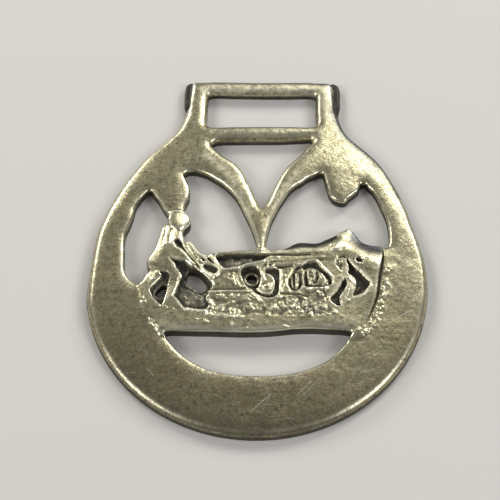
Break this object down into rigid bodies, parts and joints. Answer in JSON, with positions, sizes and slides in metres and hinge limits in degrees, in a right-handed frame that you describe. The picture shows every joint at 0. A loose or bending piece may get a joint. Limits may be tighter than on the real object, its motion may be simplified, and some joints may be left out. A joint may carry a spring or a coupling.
{
  "type": "horse brass",
  "caption": "Cast brass harness ornament: a pierced plate with a broad crescent foot, a strap loop on top and a ploughing scene in low relief under hanging foliage.",
  "frame": {"origin": "on the surface that the flat back lies on, under the middle of the plate's outline", "axes": "+Z out of the decorated front, +Y towards the strap loop, +X to the right seen from the front"},
  "size_m": [0.076, 0.0956, 0.0046],
  "materials": {
    "brass": "old cast brass, worn to a pale satin on the high places and dark in the hollows"
  },
  "bodies": {
    "root": {"pierced_brass": "brass"}
  },
  "joints": []
}
